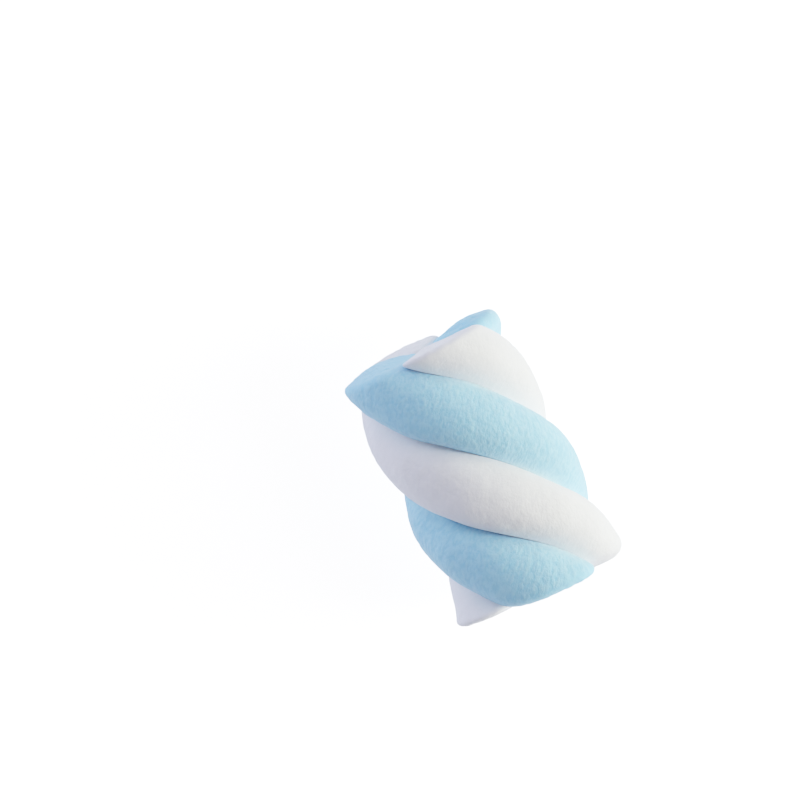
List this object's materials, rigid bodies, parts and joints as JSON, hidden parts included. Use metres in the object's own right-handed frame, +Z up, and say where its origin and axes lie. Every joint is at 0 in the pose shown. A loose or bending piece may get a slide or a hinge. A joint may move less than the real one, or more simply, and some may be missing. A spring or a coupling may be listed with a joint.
{
  "type": "marshmallow twist",
  "caption": "Soft twisted marshmallow of white and pale blue ropes, cut across at both ends, lying on its side.",
  "frame": {"origin": "middle of the box round the twist, on the ground it lies on", "axes": "+X along the twist's middle line towards the cut with the larger slant, +Z up"},
  "size_m": [0.0526, 0.0346, 0.0324],
  "materials": {
    "white_foam": "very matte, powdery white sugar foam",
    "blue_foam": "very matte, powdery pale blue sugar foam"
  },
  "bodies": {
    "root": {"white_rope_1": "white_foam", "blue_rope_1": "blue_foam", "white_rope_2": "white_foam", "blue_rope_2": "blue_foam"}
  },
  "joints": []
}
